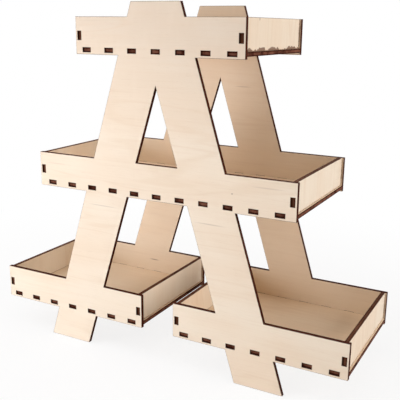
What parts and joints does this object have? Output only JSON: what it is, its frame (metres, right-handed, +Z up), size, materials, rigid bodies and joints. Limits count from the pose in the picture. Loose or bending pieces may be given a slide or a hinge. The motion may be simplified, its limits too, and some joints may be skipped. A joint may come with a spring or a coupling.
{
  "type": "tiered paint rack",
  "caption": "Free-standing A-frame rack of laser-cut plywood with open shallow trays on stepped tiers, press-fitted with tabs and slots, for paint bottles or small craft supplies.",
  "frame": {"origin": "centre of the footprint, level with the underside of the feet", "axes": "+X along the trays, +Y from the front frame to the back frame, +Z up"},
  "size_m": [0.2852, 0.099, 0.2566],
  "materials": {
    "frame_plywood": "bare pale birch plywood with a fine level grain, laser-charred brown edges",
    "floor_plywood": "bare pale birch plywood with the grain along the tray, laser-charred brown edges",
    "end_wall_plywood": "bare pale birch plywood with upright grain, laser-charred brown edges"
  },
  "bodies": {
    "root": {"front_frame": "frame_plywood", "back_frame": "frame_plywood", "top_tray_floor": "floor_plywood", "top_tray_left_end_wall": "end_wall_plywood", "top_tray_right_end_wall": "end_wall_plywood", "middle_tray_floor": "floor_plywood", "middle_tray_left_end_wall": "end_wall_plywood", "middle_tray_right_end_wall": "end_wall_plywood", "lower_left_tray_floor": "floor_plywood", "lower_left_tray_left_end_wall": "end_wall_plywood", "lower_left_tray_right_end_wall": "end_wall_plywood", "lower_right_tray_floor": "floor_plywood", "lower_right_tray_left_end_wall": "end_wall_plywood", "lower_right_tray_right_end_wall": "end_wall_plywood"}
  },
  "joints": []
}
